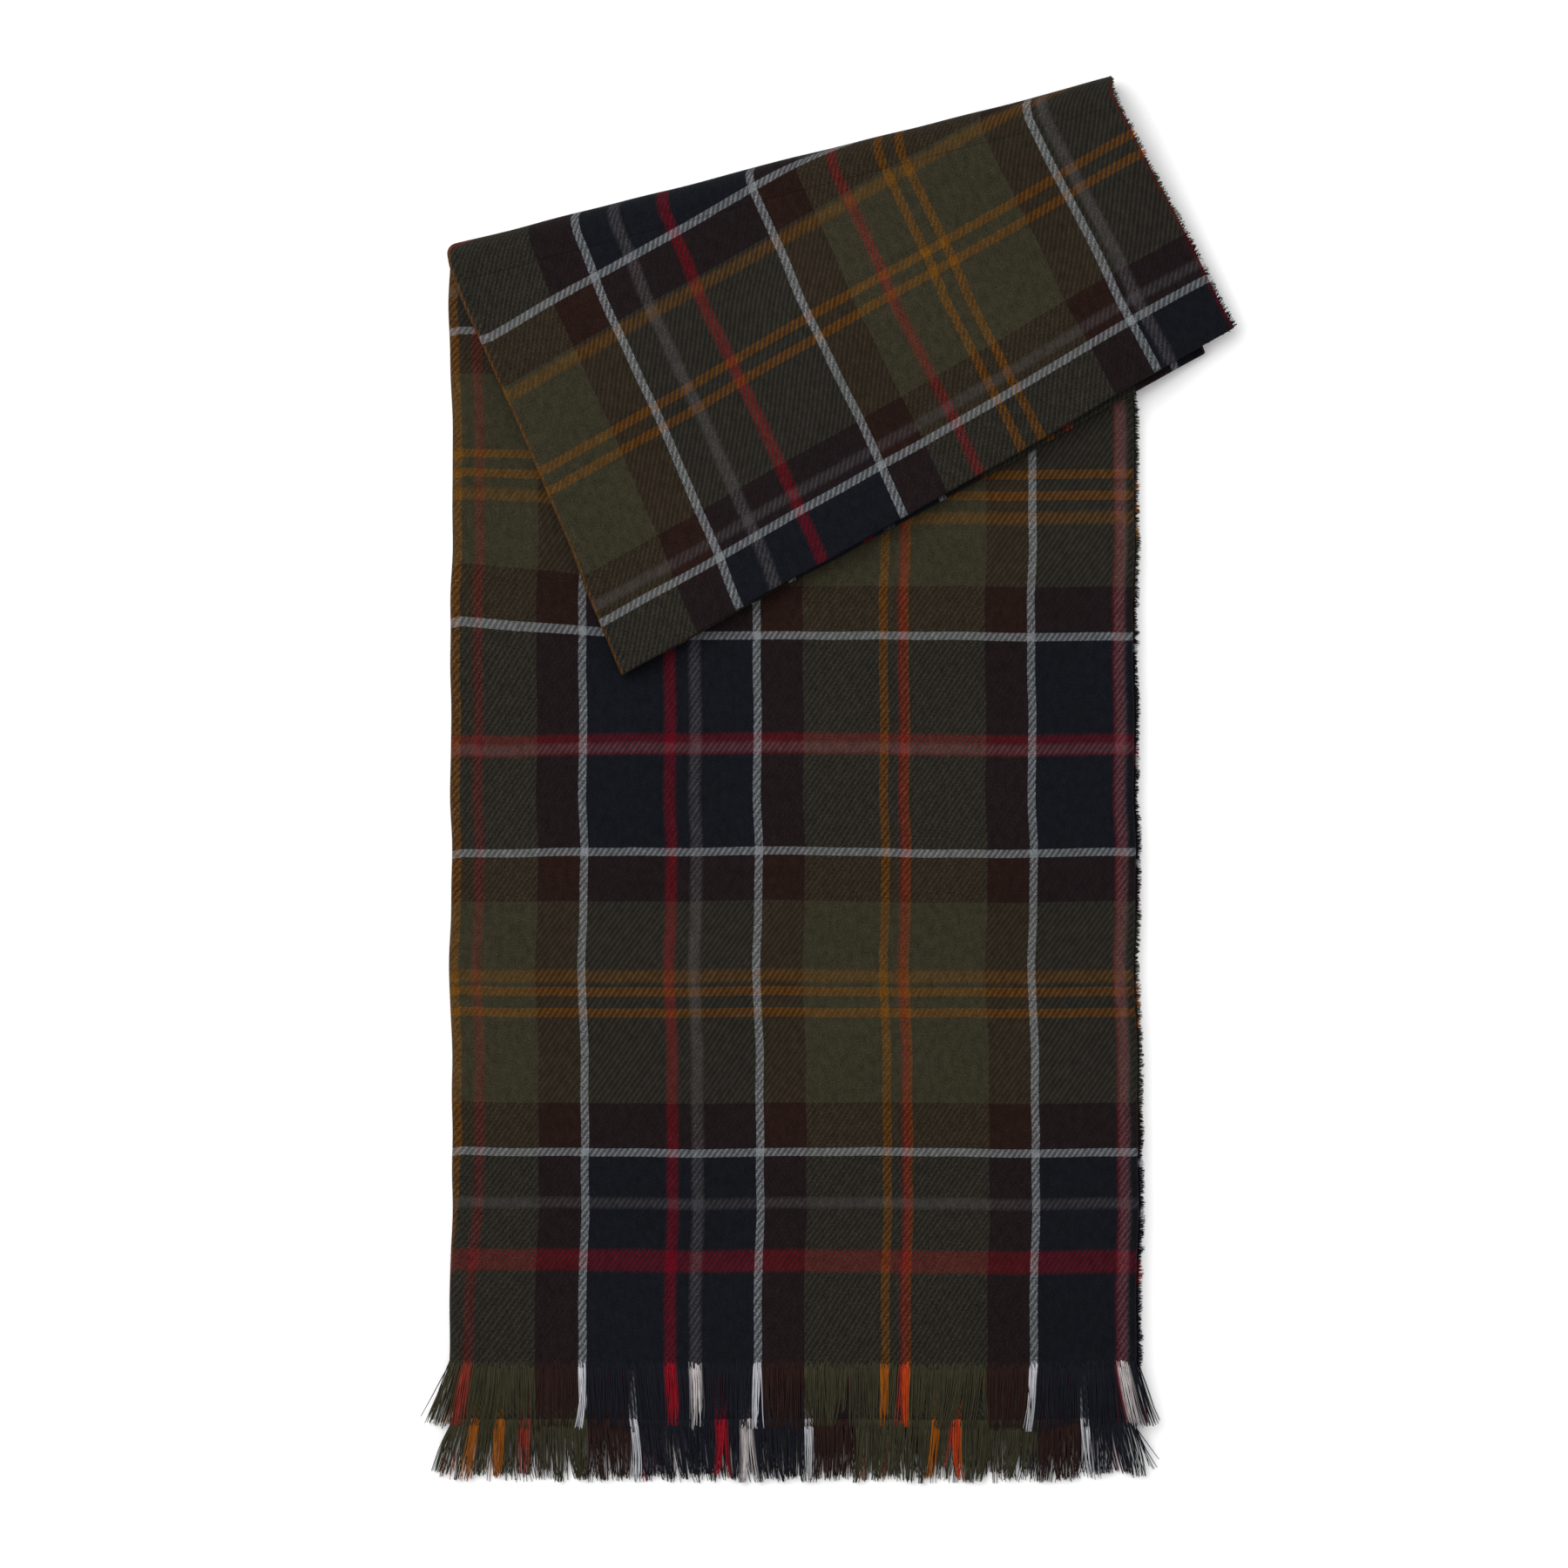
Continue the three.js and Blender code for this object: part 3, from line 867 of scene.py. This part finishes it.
# ---------------------------------------------------------------- the throw
def make_throw():
    tartan = tartan_material()
    warp_ends = loose_yarn_material("warp_ends", is_weft=False)
    weft_ends = loose_yarn_material("weft_ends", is_weft=True)
    random = np.random.default_rng(7)
    for name, leaf in LEAF.items():
        pitch = FINE_PITCH if name in OUTSIDE else COARSE_PITCH
        samples = trimmed(leaf, lateral_samples(leaf, pitch))
        make_leaf(leaf, samples, pitch, tartan)
        make_fringe(leaf, samples, random, warp_ends)
        if leaf.raw:
            make_raw_edges(leaf, samples, random, weft_ends)
    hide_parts("body_left_fold", "body_right_fold")
    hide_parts("flap_left_fold")
    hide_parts("flap_right_fold")
    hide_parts("crown_fold")
    for i, name in enumerate(("back_a", "back_inner_b", "front_inner_a", "front_b")):
        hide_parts(f"flap_end_fold_{i + 1}")


# ---------------------------------------------------------------- scene
VIEW_WIDTH = 716.4 * MM  # how wide a square of the floor the camera takes in
VIEW_MIDDLE = (-25.7 * MM, -2.2 * MM)
LENS = 200.0
SENSOR = 36.0
WINDOW_PLACE, WINDOW_SIZE, WINDOW_POWER = (-1.1, 0.9, 2.2), 2.6, 62
ROOM_LIGHT = 0.75
FLOOR_HALF = 12.0
FLOOR_HEIGHT = -0.2 * MM
PAPER = (0.93, 0.93, 0.93, 1)


def make_camera():
    data = bpy.data.cameras.new("camera")
    data.lens, data.sensor_width = LENS, SENSOR
    camera = linked("camera", data)
    camera.location = (*VIEW_MIDDLE, VIEW_WIDTH * LENS / SENSOR)
    bpy.context.scene.camera = camera


def make_light():
    data = bpy.data.lights.new("window", "AREA")
    data.shape = "DISK"
    data.size, data.energy = WINDOW_SIZE, WINDOW_POWER
    light = linked("window", data)
    light.location = WINDOW_PLACE
    light.rotation_euler = (-light.location).to_track_quat("-Z", "Y").to_euler()


def make_floor():
    sides = ((-1, -1), (1, -1), (1, 1), (-1, 1))
    corners = [(FLOOR_HALF * x, FLOOR_HALF * y, FLOOR_HEIGHT) for x, y in sides]
    mesh = bpy.data.meshes.new("floor")
    mesh.from_pydata(corners, [], [(0, 1, 2, 3)])
    material = bpy.data.materials.new("paper")
    material.use_nodes = True
    shader = material.node_tree.nodes["Principled BSDF"]
    shader.inputs["Base Color"].default_value = PAPER
    shader.inputs["Roughness"].default_value = 0.9
    mesh.materials.append(material)
    linked("floor", mesh)


def make_studio():
    world = bpy.data.worlds.new("studio")
    world.use_nodes = True
    background = world.node_tree.nodes["Background"]
    background.inputs["Color"].default_value = (1, 1, 1, 1)
    background.inputs["Strength"].default_value = ROOM_LIGHT
    bpy.context.scene.world = world
    bpy.context.scene.view_settings.view_transform = "Standard"
    make_light()


make_camera()
make_throw()
make_floor()
make_studio()
